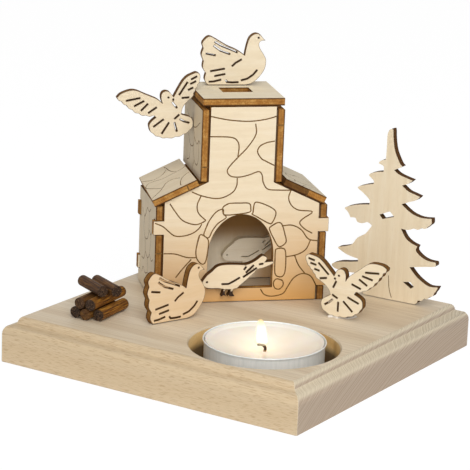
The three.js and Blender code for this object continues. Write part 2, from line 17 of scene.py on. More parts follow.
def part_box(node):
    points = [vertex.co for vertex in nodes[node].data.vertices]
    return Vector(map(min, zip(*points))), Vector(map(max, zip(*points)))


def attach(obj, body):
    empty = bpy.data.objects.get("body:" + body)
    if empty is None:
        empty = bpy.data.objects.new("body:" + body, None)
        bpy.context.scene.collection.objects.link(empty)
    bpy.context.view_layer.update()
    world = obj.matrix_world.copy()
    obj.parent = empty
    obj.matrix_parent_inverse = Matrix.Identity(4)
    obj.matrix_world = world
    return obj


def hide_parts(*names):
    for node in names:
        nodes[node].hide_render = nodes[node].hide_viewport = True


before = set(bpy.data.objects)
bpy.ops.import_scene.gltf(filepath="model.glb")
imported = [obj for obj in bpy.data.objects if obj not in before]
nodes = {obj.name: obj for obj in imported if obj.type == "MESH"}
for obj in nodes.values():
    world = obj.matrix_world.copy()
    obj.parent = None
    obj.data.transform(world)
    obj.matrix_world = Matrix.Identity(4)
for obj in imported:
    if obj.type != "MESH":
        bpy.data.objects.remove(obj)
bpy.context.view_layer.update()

MM = 0.001
rng = np.random.default_rng(7)


# Small tools


def colour(code):
    """sRGB hex to the linear colour that a socket takes."""
    channels = [int(code[i:i + 2], 16) / 255 for i in (1, 3, 5)]
    linear = [c / 12.92 if c <= 0.04045 else ((c + 0.055) / 1.055) ** 2.4 for c in channels]
    return (*linear, 1)


def add(tree, kind, inputs=None, stops=None, **settings):
    """Adds a shader node with its settings and links. A key is the name of an
    input in use, or its number; an input takes a value, a hex colour, an output,
    or a node, which stands for its first output in use. Stops fill a ramp."""
    made = tree.nodes.new("ShaderNode" + kind)
    for key, value in settings.items():
        setattr(made, key, value)
    for key, value in (inputs or {}).items():
        named = [socket for socket in made.inputs if socket.enabled and socket.name == key]
        socket = named[0] if named else made.inputs[key]
        if isinstance(value, bpy.types.Node):
            value = [output for output in value.outputs if output.enabled][0]
        if isinstance(value, bpy.types.NodeSocket):
            tree.links.new(value, socket)
        else:
            socket.default_value = colour(value) if isinstance(value, str) else value
    if stops:
        elements = made.color_ramp.elements
        while len(elements) < len(stops):
            elements.new(0.5)
        for element, (position, code) in zip(elements, stops):
            element.position = position
            element.color = colour(code)
    return made


def material(name):
    """An empty material and its tree."""
    made = bpy.data.materials.new(name)
    made.use_nodes = True
    made.node_tree.nodes.clear()
    return made, made.node_tree


# Materials. Patterns are laid out in millimetres, so a noise of scale 1 has
# features about a millimetre wide before its place is stretched.


def birch_face():
    """Laser-cut birch plywood, sanded face veneer: cream and matt, with short faint dashes along the grain and a
    slow figure. One tone makes a piece more golden: its own tone, and painted warm light and painted shade. Another
    makes it greyer: its own tone, and painted shade. A third turns it black: char, and painted shade. Close to a
    cut the laser has singed it."""
    made, tree = material("birch_plywood_sanded_face")
    place = add(tree, "UVMap", uv_map="sheet_mm")
    warm_tone_and_light, burn_and_shade, tone_and_shade, rim = (add(tree, "Attribute", attribute_name=name).outputs["Fac"]
                                 for name in ("warm_tone_and_light", "burn_and_shade", "tone_and_shade", "rim"))
    # dashes 0.25 by 3 mm, figure 2 by 25 mm, cloudy patches 12 mm wide
    dashes = add(tree, "Mapping", {"Vector": place, "Scale": (3.4, 0.3, 1)})
    dashes = add(tree, "TexNoise", {"Vector": dashes, "Scale": 1, "Detail": 2, "Roughness": 0.6})
    figure = add(tree, "Mapping", {"Vector": place, "Scale": (0.5, 0.04, 1)})
    figure = add(tree, "TexNoise", {"Vector": figure, "Scale": 1, "Detail": 3, "Roughness": 0.5, "Distortion": 0.4})
    patches = add(tree, "TexNoise", {"Vector": place, "Scale": 0.08, "Detail": 2})
    face = add(tree, "ValToRGB", {"Fac": figure}, [(0.25, "#E4D5B8"), (0.5, "#EADCC0"), (0.75, "#EEE3CB")])
    pore = add(tree, "ValToRGB", {"Fac": dashes}, [(0.3, "#7A7A7A"), (0.46, "#000000")])
    cloud = add(tree, "ValToRGB", {"Fac": patches}, [(0.3, "#383838"), (0.7, "#000000")])
    singed = add(tree, "MapRange", {"Value": rim, "From Min": 0.06, "From Max": 0.2, "To Min": 0.85, "To Max": 0})
    # the greyer, golden and black tones carry painted shade and painted warm light as well as the wood's own tone
    # and char
    for part, tone in ((pore, "#CDB995"), (cloud, "#DFCBA4"), (tone_and_shade, "#8A7C66"), (warm_tone_and_light, "#CB964E"),
                       (singed, "#4A2E16"), (burn_and_shade, "#2E1C0E")):
        face = add(tree, "Mix", {"Factor": part, "A": face, "B": tone}, data_type="RGBA")
    relief = add(tree, "Bump", {"Height": dashes, "Distance": 0.03 * MM, "Strength": 0.5})
    skin = add(tree, "BsdfPrincipled", {"Base Color": face, "Roughness": 0.62, "Specular IOR Level": 0.3,
                                        "Normal": relief})
    add(tree, "OutputMaterial", {"Surface": skin})
    return made


def birch_cut():
    """The same plywood's laser-cut edge: golden brown, pricked with fine dark dots, with a darker middle ply and
    rims that are charred and painted darker still, as painted shade of the gaps between pieces; a small figure's
    edge, cut slower, is charred nearly all over."""
    made, tree = material("birch_plywood_laser_cut_edge")
    across, char = (add(tree, "Attribute", attribute_name=name).outputs["Fac"] for name in ("across", "char"))
    place = add(tree, "TexCoord").outputs["Object"]
    soot = add(tree, "TexNoise", {"Vector": place, "Scale": 350, "Detail": 3, "Roughness": 0.6})
    dots = add(tree, "TexNoise", {"Vector": place, "Scale": 2300, "Detail": 1, "Roughness": 0.5})
    core = add(tree, "ValToRGB", {"Fac": soot}, [(0.3, "#9A662C"), (0.5, "#B27E3E"), (0.7, "#C99A56")])
    prick = add(tree, "ValToRGB", {"Fac": dots}, [(0.42, "#B0B0B0"), (0.54, "#000000")])
    # dark at both faces: char, and painted shade of the gaps between pieces; a little darker in the middle ply
    plies_and_gap_shade = add(tree, "ValToRGB", {"Fac": across}, [
        (0.0, "#FFFFFF"), (0.13, "#F0F0F0"), (0.22, "#101010"), (0.44, "#000000"), (0.52, "#909090"),
        (0.6, "#000000"), (0.8, "#101010"), (0.9, "#F0F0F0")])
    edge = core
    for part, tone in ((prick, "#855320"), (plies_and_gap_shade, "#452A14"), (char, "#37200F")):
        edge = add(tree, "Mix", {"Factor": part, "A": edge, "B": tone}, data_type="RGBA")
    relief = add(tree, "Bump", {"Height": dots, "Distance": 0.05 * MM, "Strength": 0.6})
    skin = add(tree, "BsdfPrincipled", {"Base Color": edge, "Roughness": 0.8, "Specular IOR Level": 0.12,
                                        "Normal": relief})
    add(tree, "OutputMaterial", {"Surface": skin})
    return made


def burnt_line():
    """A line engraved by the laser: a shallow groove of brown char."""
    made, tree = material("laser_engraved_line")
    place = add(tree, "TexCoord").outputs["Object"]
    grain = add(tree, "TexNoise", {"Vector": place, "Scale": 1500, "Detail": 2})
    tone = add(tree, "ValToRGB", {"Fac": grain}, [(0.3, "#5C3E20"), (0.7, "#8A6A3C")])
    skin = add(tree, "BsdfPrincipled", {"Base Color": tone, "Roughness": 0.85, "Specular IOR Level": 0.1})
    add(tree, "OutputMaterial", {"Surface": skin})
    return made


def planed_beech(name, bore):
    """Solid beech, its fibres along the block's front left edge. The growth rings are cylinders about a far centre
    below the right corner, so they cross the end grain as fine slanted lines and run lengthwise over the top; the
    long side carries short dark ray flecks. The bore is turned and oiled; its golden tone is partly painted warm
    light from the flame, and it is painted darker towards its floor, where shade falls."""
    made, tree = material(name)
    place = add(tree, "TexCoord").outputs["Object"]
    # first axis along the fibres, second across them, in millimetres
    along = add(tree, "Mapping", {"Vector": place, "Scale": (1000, 1000, 1000),
                                  "Rotation": (0, 0, math.radians(45))})
    slow = add(tree, "Mapping", {"Vector": along, "Scale": (0.012, 0.05, 0.05)})
    waver = add(tree, "TexNoise", {"Vector": slow, "Scale": 1, "Detail": 2})
    arm = add(tree, "Mapping", {"Vector": along, "Location": (0, RING_SIDE, RING_DROP), "Scale": (0, 1, 1)})
    reach = add(tree, "VectorMath", {0: arm}, operation="LENGTH")
    reach = add(tree, "Math", {0: waver, 1: 1.4, 2: reach}, operation="MULTIPLY_ADD")
    rings = add(tree, "TexNoise", {"W": reach, "Scale": 2.3, "Detail": 2, "Roughness": 0.6}, noise_dimensions="1D")
    hatch = add(tree, "TexNoise", {"W": reach, "Scale": 4.6, "Detail": 2, "Roughness": 0.6}, noise_dimensions="1D")
    broad = add(tree, "TexNoise", {"W": reach, "Scale": 0.16, "Detail": 2}, noise_dimensions="1D")
    stretch = add(tree, "Mapping", {"Vector": along, "Scale": (0.05, 3.6, 3.6)})
    fibres = add(tree, "TexNoise", {"Vector": stretch, "Scale": 1, "Detail": 3, "Roughness": 0.6})
    stretch = add(tree, "Mapping", {"Vector": along, "Scale": (0.34, 3.6, 4.0),
                                    "Rotation": (0, math.radians(-5), 0)})
    flecks = add(tree, "TexNoise", {"Vector": stretch, "Scale": 1, "Detail": 2, "Roughness": 0.5})

    # the surface's own direction in the same turned axes
    turned_normal = add(tree, "Mapping", {"Vector": add(tree, "NewGeometry").outputs["Normal"],
                                          "Rotation": (0, 0, math.radians(45))}, vector_type="NORMAL")
    facing = add(tree, "SeparateXYZ", {"Vector": turned_normal})
    end = add(tree, "Math", {0: facing.outputs[0]}, operation="ABSOLUTE")
    upright = add(tree, "MapRange", {"Value": end, "From Min": 0.8, "From Max": 0.95})
    # outside the flat top: the moulding and the upright faces, split at the corners
    parts = add(tree, "SeparateXYZ", {"Vector": along})
    far = add(tree, "Math", {0: parts.outputs[0]}, operation="ABSOLUTE")
    wide = add(tree, "Math", {0: parts.outputs[1]}, operation="ABSOLUTE")
    ahead = add(tree, "Math", {0: far, 1: wide}, operation="SUBTRACT")
    ahead = add(tree, "MapRange", {"Value": ahead, "From Min": -0.1, "From Max": 0.1})
    behind = add(tree, "Math", {0: 1.0, 1: ahead}, operation="SUBTRACT")
    sloped = add(tree, "MapRange", {"Value": far, "From Min": TOP_HALF - 0.3, "From Max": TOP_HALF + 0.1})
    sloped = add(tree, "Math", {0: sloped, 1: ahead}, operation="MULTIPLY")
    upright = add(tree, "Math", {0: upright, 1: sloped}, operation="MULTIPLY")
    side = add(tree, "MapRange", {"Value": wide, "From Min": TOP_HALF - 0.3, "From Max": TOP_HALF + 0.1})
    side = add(tree, "Math", {0: side, 1: behind}, operation="MULTIPLY")

    # the bore's golden bands: its own tone, and partly painted warm light from the flame
    bands = [(0.3, "#CFA768"), (0.7, "#E0C086")] if bore else [(0.3, "#D2BEA2"), (0.5, "#DBCAAF"), (0.7, "#E2D3BB")]
    wood = add(tree, "ValToRGB", {"Fac": broad}, bands)
    thin = add(tree, "ValToRGB", {"Fac": fibres}, [(0.38, "#A4A4A4"), (0.52, "#000000")])
    wood = add(tree, "Mix", {"Factor": thin, "A": wood, "B": "#AC8F6C"}, data_type="RGBA")
    # golden long side with its flecks
    golden = add(tree, "Math", {0: side, 1: 0.75}, operation="MULTIPLY")
    wood = add(tree, "Mix", {"Factor": golden, "A": wood, "B": "#C9B18C"}, data_type="RGBA")
    fleck = add(tree, "ValToRGB", {"Fac": flecks}, [(0.54, "#000000"), (0.63, "#B4B4B4")])
    fleck = add(tree, "Math", {0: side, 1: fleck}, operation="MULTIPLY")
    wood = add(tree, "Mix", {"Factor": fleck, "A": wood, "B": "#A07E58"}, data_type="RGBA")
    if bore:
        # painted shade: darker towards the floor, where the cup and the walls keep the light out
        floor_shade = add(tree, "MapRange", {"Value": parts.outputs[2], "From Min": 11.4, "From Max": 9.0,
                                      "To Max": 0.85})
        wood = add(tree, "Mix", {"Factor": floor_shade, "A": wood, "B": "#33241A"}, data_type="RGBA")
    else:
        # end grain: pale and hatched on the moulding, pinker on the upright face
        line = add(tree, "ValToRGB", {"Fac": rings}, [(0.36, "#FFFFFF"), (0.58, "#000000")])
        hatch = add(tree, "ValToRGB", {"Fac": hatch}, [(0.4, "#FFFFFF"), (0.58, "#000000")])
        slope = add(tree, "Mix", {"Factor": hatch, "A": "#D8CBB3", "B": "#C2B296"}, data_type="RGBA")
        face = add(tree, "Mix", {"Factor": line, "A": "#BBA995", "B": "#A5907B"}, data_type="RGBA")
        wood = add(tree, "Mix", {"Factor": sloped, "A": wood, "B": slope}, data_type="RGBA")
        wood = add(tree, "Mix", {"Factor": upright, "A": wood, "B": face}, data_type="RGBA")
    relief = add(tree, "Bump", {"Height": fibres, "Distance": 0.04 * MM, "Strength": 0.5})
    skin = add(tree, "BsdfPrincipled", {"Base Color": wood, "Roughness": 0.55, "Specular IOR Level": 0.35,
                                        "Normal": relief})
    add(tree, "OutputMaterial", {"Surface": skin})
    return made


def stained_twig():
    """A beech dowel, stained and scorched: dark streaks along golden brown sides,
    and end grain that drank the stain, almost black with pale specks."""
    made, tree = material("stained_beech_dowel")
    place = add(tree, "UVMap", uv_map="bark_mm")
    tone, cut = (add(tree, "Attribute", attribute_name=name).outputs["Fac"] for name in ("tone", "cut"))
    solid = add(tree, "TexCoord").outputs["Object"]
    long = add(tree, "Mapping", {"Vector": place, "Scale": (1.9, 0.11, 1)})
    streaks = add(tree, "TexNoise", {"Vector": long, "Scale": 1, "Detail": 3, "Roughness": 0.65})
    burns = add(tree, "Mapping", {"Vector": place, "Scale": (0.35, 0.16, 1)})
    burns = add(tree, "TexNoise", {"Vector": burns, "Scale": 1, "Detail": 2})
    grains = add(tree, "TexNoise", {"Vector": solid, "Scale": 2600, "Detail": 2, "Roughness": 0.7})
    dark = add(tree, "ValToRGB", {"Fac": streaks}, [(0.32, "#1C1109"), (0.5, "#3E2818"), (0.7, "#5C4029")])
    light = add(tree, "ValToRGB", {"Fac": streaks}, [(0.34, "#33200F"), (0.46, "#7A4A18"), (0.6, "#B07A2A"),
                                                     (0.75, "#C99A4A")])
    side = add(tree, "Mix", {"Factor": tone, "A": dark, "B": light}, data_type="RGBA")
    burns = add(tree, "ValToRGB", {"Fac": burns}, [(0.48, "#000000"), (0.62, "#9A9A9A")])
    side = add(tree, "Mix", {"Factor": burns, "A": side, "B": "#26170C"}, data_type="RGBA")
    ends = add(tree, "ValToRGB", {"Fac": grains}, [(0.4, "#1A110B"), (0.54, "#39281B"), (0.7, "#6E543E")])
    bark = add(tree, "Mix", {"Factor": cut, "A": side, "B": ends}, data_type="RGBA")
    relief = add(tree, "Bump", {"Height": streaks, "Distance": 0.08 * MM, "Strength": 0.7})
    skin = add(tree, "BsdfPrincipled", {"Base Color": bark, "Roughness": 0.6, "Specular IOR Level": 0.2,
                                        "Normal": relief})
    add(tree, "OutputMaterial", {"Surface": skin})
    return made


def pressed_foil():
    """Deep-drawn aluminium foil: satin light grey with faint upright draw marks."""
    made, tree = material("drawn_aluminium_foil")
    place = add(tree, "TexCoord").outputs["Object"]
    upright = add(tree, "Mapping", {"Vector": place, "Scale": (900, 900, 120)})
    marks = add(tree, "TexNoise", {"Vector": upright, "Scale": 1, "Detail": 2, "Roughness": 0.6})
    tone = add(tree, "ValToRGB", {"Fac": marks}, [(0.3, "#E6EAE8"), (0.7, "#F2F4F2")])
    relief = add(tree, "Bump", {"Height": marks, "Distance": 0.01 * MM, "Strength": 0.2})
    skin = add(tree, "BsdfPrincipled", {"Base Color": tone, "Metallic": 0.12, "Roughness": 0.35, "Normal": relief})
    add(tree, "OutputMaterial", {"Surface": skin})
    return made


def tinned_steel():
    """Stamped tinplate: dull grey with fine scratches."""
    made, tree = material("stamped_tinplate")
    place = add(tree, "TexCoord").outputs["Object"]
    drawn = add(tree, "Mapping", {"Vector": place, "Scale": (300, 4000, 300)})
    marks = add(tree, "TexNoise", {"Vector": drawn, "Scale": 1, "Detail": 2})
    tone = add(tree, "ValToRGB", {"Fac": marks}, [(0.3, "#9A9A96"), (0.7, "#B9B9B4")])
    skin = add(tree, "BsdfPrincipled", {"Base Color": tone, "Metallic": 1.0, "Roughness": 0.42})
    add(tree, "OutputMaterial", {"Surface": skin})
    return made


def warm_paraffin():
    """Paraffin wax, part melted: a cream that light sinks into, wet and smooth
    in the bowl and a little cloudy at the bank."""
    made, tree = material("melted_paraffin")
    place = add(tree, "TexCoord").outputs["Object"]
    cloud = add(tree, "TexNoise", {"Vector": place, "Scale": 120, "Detail": 2})
    tone = add(tree, "ValToRGB", {"Fac": cloud}, [(0.3, "#FAEEDF"), (0.7, "#FFF5E9")])
    skin = add(tree, "BsdfPrincipled", {
        "Base Color": tone, "Roughness": 0.25, "Subsurface Weight": 0.35,
        "Subsurface Radius": (0.004, 0.0022, 0.0012), "Subsurface Scale": 1.0})
    add(tree, "OutputMaterial", {"Surface": skin})
    return made


def burnt_cotton():
    """Braided cotton wick, charred black at the hook and soaked with wax below."""
    made, tree = material("charred_cotton_wick")
    place = add(tree, "TexCoord").outputs["Object"]
    height = add(tree, "SeparateXYZ", {"Vector": place}).outputs[2]
    burnt = add(tree, "MapRange", {"Value": height, "From Min": 12.2 * MM, "From Max": 13.2 * MM})
    fuzz = add(tree, "TexNoise", {"Vector": place, "Scale": 3000, "Detail": 2})
    black = add(tree, "ValToRGB", {"Fac": fuzz}, [(0.35, "#1A120C"), (0.65, "#4A3420")])
    soaked = add(tree, "ValToRGB", {"Fac": fuzz}, [(0.35, "#B98A4A"), (0.65, "#E0BE84")])
    tone = add(tree, "Mix", {"Factor": burnt, "A": soaked, "B": black}, data_type="RGBA")
    relief = add(tree, "Bump", {"Height": fuzz, "Distance": 0.1 * MM, "Strength": 0.8})
    skin = add(tree, "BsdfPrincipled", {"Base Color": tone, "Roughness": 0.9, "Normal": relief})
    add(tree, "OutputMaterial", {"Surface": skin})
    return made


def candle_flame(name, alpha, low, high):
    """A small steady flame: light with no surface of its own, clear enough that
    the wick's dark hook shows through it."""
    made, tree = material(name)
    place = add(tree, "TexCoord").outputs["Object"]
    height = add(tree, "SeparateXYZ", {"Vector": place}).outputs[2]
    part = add(tree, "MapRange", {"Value": height, "From Min": 13.4 * MM, "From Max": 22 * MM})
    tone = add(tree, "ValToRGB", {"Fac": part}, [(0.0, low), (0.3, high), (0.8, high), (1.0, low)])
    skin = add(tree, "BsdfPrincipled", {
        "Base Color": "#000000", "Roughness": 1.0, "Specular IOR Level": 0.0, "Alpha": alpha,
        "Emission Color": tone, "Emission Strength": 1.4})
    add(tree, "OutputMaterial", {"Surface": skin})
    return made


def wood_glue():
    """White wood glue, squeezed out and dried: milky, glossy and slightly clear."""
    made, tree = material("dried_wood_glue")
    place = add(tree, "TexCoord").outputs["Object"]
    cloud = add(tree, "TexNoise", {"Vector": place, "Scale": 900, "Detail": 2})
    tone = add(tree, "ValToRGB", {"Fac": cloud}, [(0.3, "#DDD2C2"), (0.7, "#F1EAE0")])
    skin = add(tree, "BsdfPrincipled", {"Base Color": tone, "Roughness": 0.25, "Transmission Weight": 0.15})
    add(tree, "OutputMaterial", {"Surface": skin})
    return made


# growth rings' far centre, from the middle of the underside, in millimetres
RING_SIDE, RING_DROP = -78, 200
# half the side of the block's flat top, inside its moulding
TOP_HALF = 50.1
FACE, CUT, LINE = birch_face(), birch_cut(), burnt_line()
BEECH, BORE = planed_beech("planed_beech", False), planed_beech("turned_beech_recess", True)
DOWEL = stained_twig()
FOIL, TIN, WAX, WICK = pressed_foil(), tinned_steel(), warm_paraffin(), burnt_cotton()
FLAME = candle_flame("candle_flame", 0.8, "#FFE6B0", "#FFFBF0")
HALO = candle_flame("candle_flame_edge", 0.3, "#FFDDA0", "#FFF0D0")
GLUE = wood_glue()


# Making pieces


def linked(name, data):
    """A new object in the scene."""
    made = bpy.data.objects.new(name, data)
    bpy.context.scene.collection.objects.link(made)
    return made


def piece(name, mesh, materials, body, node=None):
    """Puts a finished mesh in the scene, on its body and in its node's stead."""
    made = linked(name, mesh)
    for finish in materials:
        if finish.name not in mesh.materials:
            mesh.materials.append(finish)
    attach(made, body)
    if node:
        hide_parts(node)
    return made


def smooth(mesh, degrees):
    mesh.shade_smooth()
    mesh.set_sharp_from_angle(angle=math.radians(degrees))


def whole(node, join=True):
    """A bmesh of a CAD node with its loose triangles welded and, where asked,
    its flat faces joined; a face with many holes is better left in triangles."""
    sheet = bmesh.new()
    sheet.from_mesh(nodes[node].data)
    bmesh.ops.remove_doubles(sheet, verts=sheet.verts, dist=0.002 * MM)
    if join:
        bmesh.ops.dissolve_limit(sheet, angle_limit=math.radians(0.5), verts=sheet.verts, edges=sheet.edges,
                                 delimit={"NORMAL"})
    return sheet


def turned(profile, segments, waver=None):
    """A turned body: each profile point (radius, height) is swept round +Z, and
    the first and last, on the axis, close it with a fan. The waver, one factor
    for each inner point and segment, scales the radius. All in millimetres."""
    profile = np.asarray(profile, float)
    inner = profile[1:-1]
    rows = len(inner)
    angle = np.arange(segments) * 2 * np.pi / segments
    radius = inner[:, :1] * (np.ones((rows, segments)) if waver is None else waver)
    grid = np.stack([radius * np.cos(angle), radius * np.sin(angle),
                     np.repeat(inner[:, 1:], segments, 1)], -1).reshape(-1, 3)
    poles = np.array([[0, 0, profile[0, 1]], [0, 0, profile[-1, 1]]])
    index = np.arange(rows * segments).reshape(rows, segments)
    after = np.roll(index, -1, 1)
    quads = np.stack([index[:-1], after[:-1], after[1:], index[1:]], -1).reshape(-1, 4)
    low, high = rows * segments, rows * segments + 1
    bottom = np.stack([np.full(segments, low), after[0], index[0]], -1)
    top = np.stack([np.full(segments, high), index[-1], after[-1]], -1)
    return np.vstack([grid, poles]), [*quads.tolist(), *bottom.tolist(), *top.tolist()]


def mesh_of(name, points, faces):
    """A mesh from points in millimetres."""
    mesh = bpy.data.meshes.new(name)
    mesh.from_pydata((np.asarray(points) * MM).tolist(), [], faces)
    mesh.update()
    return mesh


def curve_through(points, steps):
    """A smooth line through the points (Catmull-Rom), with that many steps a span."""
    points = np.asarray(points, float)
    ends = np.vstack([2 * points[0] - points[1], points, 2 * points[-1] - points[-2]])
    t = np.linspace(0, 1, steps, endpoint=False)[None, :, None]
    a, b, c, d = (ends[i:len(ends) - 3 + i][:, None] for i in range(4))
    line = 0.5 * (2 * b + (c - a) * t + (2 * a - 5 * b + 4 * c - d) * t ** 2
                  + (3 * b - 3 * c + d - a) * t ** 3)
    return np.vstack([line.reshape(-1, points.shape[1]), points[-1:]])


def corners_of(mesh):
    """A mesh's corners in millimetres, one row each."""
    corners = np.zeros(len(mesh.vertices) * 3)
    mesh.vertices.foreach_get("co", corners)
    return corners.reshape(-1, 3) / MM


def attribute(mesh, name, values):
    """A tone for each corner: one number for all, or one each."""
    made = mesh.attributes.new(name, "FLOAT", "POINT")
    made.data.foreach_set("value", np.full(len(mesh.vertices), values, np.float32))


def chart(mesh, name, places):
    """A UV chart from each corner's place on the surface, in millimetres."""
    loops = np.zeros(len(mesh.loops), np.int32)
    mesh.loops.foreach_get("vertex_index", loops)
    mesh.uv_layers.new(name=name).data.foreach_set("uv", places[loops].astype(np.float32).ravel())


def face_outwards(mesh):
    solid = bmesh.new()
    solid.from_mesh(mesh)
    bmesh.ops.recalc_face_normals(solid, faces=solid.faces)
    solid.to_mesh(mesh)
    solid.free()


def directions(path):
    """The unit direction of a path at each of its points."""
    way = np.gradient(path, axis=0)
    return way / np.linalg.norm(way, axis=1)[:, None]


# Plywood sheets

# millimetres: the burnt lines, the easing of the house's edges, and a distance
# from a cut at which nothing is singed
LINE_WIDTH, FAINT_WIDTH, LINE_DEPTH = 0.42, 0.26, 0.16
SHEET_EASING, NO_CUT_NEAR = 0.09, 9
# the nets' cells in millimetres, and where they start, in cells
DOVE_NET, BACK_NET, NET_START = 0.5, 2.0, 0.37


def axes_of(mesh, outward):
    """The sheet's outer normal, taken from its largest flat direction, and its
    right and up axes as seen from outside."""
    normals = np.zeros(len(mesh.polygons) * 3)
    areas = np.zeros(len(mesh.polygons))
    mesh.polygons.foreach_get("normal", normals)
    mesh.polygons.foreach_get("area", areas)
    normals = normals.reshape(-1, 3)
    largest = normals[np.argmax(areas)]
    normal = largest * np.sign(largest @ np.asarray(outward))
    helper = np.array([0, 1, 0]) if abs(normal[2]) > 0.5 else np.array([0, 0, 1])
    right = np.cross(helper, normal)
    right /= np.linalg.norm(right)
    return normal, right, np.cross(normal, right)


def groove_tools(lines, width, normal, right, up, level):
    """Tools that cut the burnt lines: a four-sided section, wider at the top,
    carried along each smoothed line a little above and below the sheet's face."""
    points, faces = [], []
    start = 0
    section = np.array([[-0.62, 0.1], [0.62, 0.1], [0.3, -LINE_DEPTH], [-0.3, -LINE_DEPTH]])
    section[:, 0] *= width
    for line in lines:
        path = curve_through(line, 5)
        way = directions(path)
        side = np.stack([-way[:, 1], way[:, 0]], -1)
        flat = path[:, None] + side[:, None] * section[None, :, :1]
        solid = (flat[..., :1] * right + flat[..., 1:] * up
                 + (level + section[None, :, 1:]) * normal)
        count = len(path)
        points.append(solid.reshape(-1, 3))
        index = start + np.arange(count * 4).reshape(count, 4)
        after = np.roll(index, -1, 1)
        quads = np.stack([index[:-1], index[1:], after[1:], after[:-1]], -1).reshape(-1, 4)
        faces += quads.tolist() + [index[0].tolist(), index[-1][::-1].tolist()]
        start += count * 4
    return np.vstack(points), faces


def engrave(made, lines, width, normal, right, up, level):
    """Cuts the lines into the sheet and gives their floors the burnt finish."""
    tools = mesh_of(made.name + "_tools", *groove_tools(lines, width, normal, right, up, level))
    for finish in (FACE, CUT, LINE):
        tools.materials.append(finish)
    tools.polygons.foreach_set("material_index", np.full(len(tools.polygons), 2, np.int32))
    holder = linked(tools.name, tools)
    face_outwards(tools)
    cut = made.modifiers.new("burn", "BOOLEAN")
    cut.operation = "DIFFERENCE"
    cut.solver = "EXACT"
    cut.use_self = True
    cut.object = holder
    bpy.context.view_layer.update()
    result = bpy.data.meshes.new_from_object(made.evaluated_get(bpy.context.evaluated_depsgraph_get()))
    made.modifiers.clear()
    old = made.data
    made.data = result
    bpy.data.meshes.remove(old)
    bpy.data.objects.remove(holder)
    bpy.data.meshes.remove(tools)


def netted(sheet, source, right, up, cell):
    """Cuts a sheet along a square net, so that a tone may change within its
    broad faces; they stay flat."""
    corners = corners_of(source)
    for way in (right, up):
        reach = corners @ way
        for place in np.arange(reach.min() + NET_START * cell, reach.max(), cell):
            bmesh.ops.bisect_plane(sheet, geom=[*sheet.verts, *sheet.edges, *sheet.faces], dist=0.004 * MM,
                                   plane_co=Vector(way * place * MM), plane_no=Vector(way))


def reach_of(flat, ends):
    """The distance of each point of the sheet's plane to the nearest of the
    segments, each given by its two ends."""
    start, way = ends[:, 0], ends[:, 1] - ends[:, 0]
    part = flat[:, None] - start
    along = np.clip((part * way).sum(-1) / np.maximum((way * way).sum(-1), 1e-9), 0, 1)
    return np.linalg.norm(part - along[..., None] * way, axis=-1).min(1)


def dress_sheet(node, outward, lines=(), width=FAINT_WIDTH, ticks=(), grain="up", warm_tone_and_light=0, burn_and_shade=0, tone_and_shade=0,
                char=0, eased=True, pale_edge=False, net=0, singed=False):
    """A plywood sheet: the CAD node's copy, its edges eased, engraved on its outer face and, with ticks, on its
    front edge. Its attributes say where a corner lies between the inner face (0) and the outer one (1); how golden
    it is, from its own tone and from painted warm light and shade; how black, from char and from painted shade; how
    grey, from its own tone and from painted shade; how charred (each a number, or a function of the corners); and
    how far from a cut. Its grain runs up or across, and a pale edge has the face's finish."""
    sheet = whole(node, eased)
    normal, right, up = axes_of(nodes[node].data, outward)
    broad = Vector(normal)
    rims = [e for e in sheet.edges if len(e.link_faces) == 2
            and sum(abs(f.normal.dot(broad)) > 0.99 for f in e.link_faces) == 1]
    for face in sheet.faces:
        face.material_index = 0 if abs(face.normal.dot(broad)) > 0.99 else 1
    if eased:
        bmesh.ops.bevel(sheet, geom=rims, offset=SHEET_EASING * MM, offset_type="OFFSET", segments=1, profile=0.5,
                        affect="EDGES", clamp_overlap=False, material=1)
    cuts = np.array([[end.co[:] for end in e.verts] for e in rims]) / MM if singed else None
    if net:
        netted(sheet, nodes[node].data, right, up, net)
    mesh = bpy.data.meshes.new("ply_" + node)
    sheet.to_mesh(mesh)
    sheet.free()
    made = piece("ply_" + node, mesh, (FACE, CUT, LINE), "holder", node)
    corners = corners_of(mesh)
    if lines:
        engrave(made, lines, width, normal, right, up, (corners @ normal).max())
    if ticks:
        front = np.array([0, -1, 0])
        engrave(made, ticks, LINE_WIDTH, front, np.array([1, 0, 0]), np.array([0, 0, 1]), (corners @ front).max())
    mesh = made.data
    corners = corners_of(mesh)
    depth = corners @ normal
    plane = np.stack([right, up], -1)
    flat = corners @ plane
    chart(mesh, "sheet_mm", flat if grain == "up" else flat[:, ::-1])
    attribute(mesh, "across", (depth - depth.min()) / (depth.max() - depth.min()))
    for name, value in (("warm_tone_and_light", warm_tone_and_light), ("burn_and_shade", burn_and_shade), ("tone_and_shade", tone_and_shade), ("char", char)):
        attribute(mesh, name, value(corners) if callable(value) else value)
    attribute(mesh, "rim", reach_of(flat, cuts @ plane) if singed else NO_CUT_NEAR)
    smooth(mesh, 24)
    slots = np.zeros(len(mesh.polygons), np.int32)
    mesh.polygons.foreach_get("material_index", slots)
    mesh.polygons.foreach_set("use_smooth", slots == 1)
    if pale_edge:
        mesh.polygons.foreach_set("material_index", np.zeros(len(slots), np.int32))
    return made


def fade(value, start, end):
    """0 at start and 1 at end, smoothly."""
    part = np.clip((value - start) / (end - start), 0, 1)
    return part * part * (3 - 2 * part)


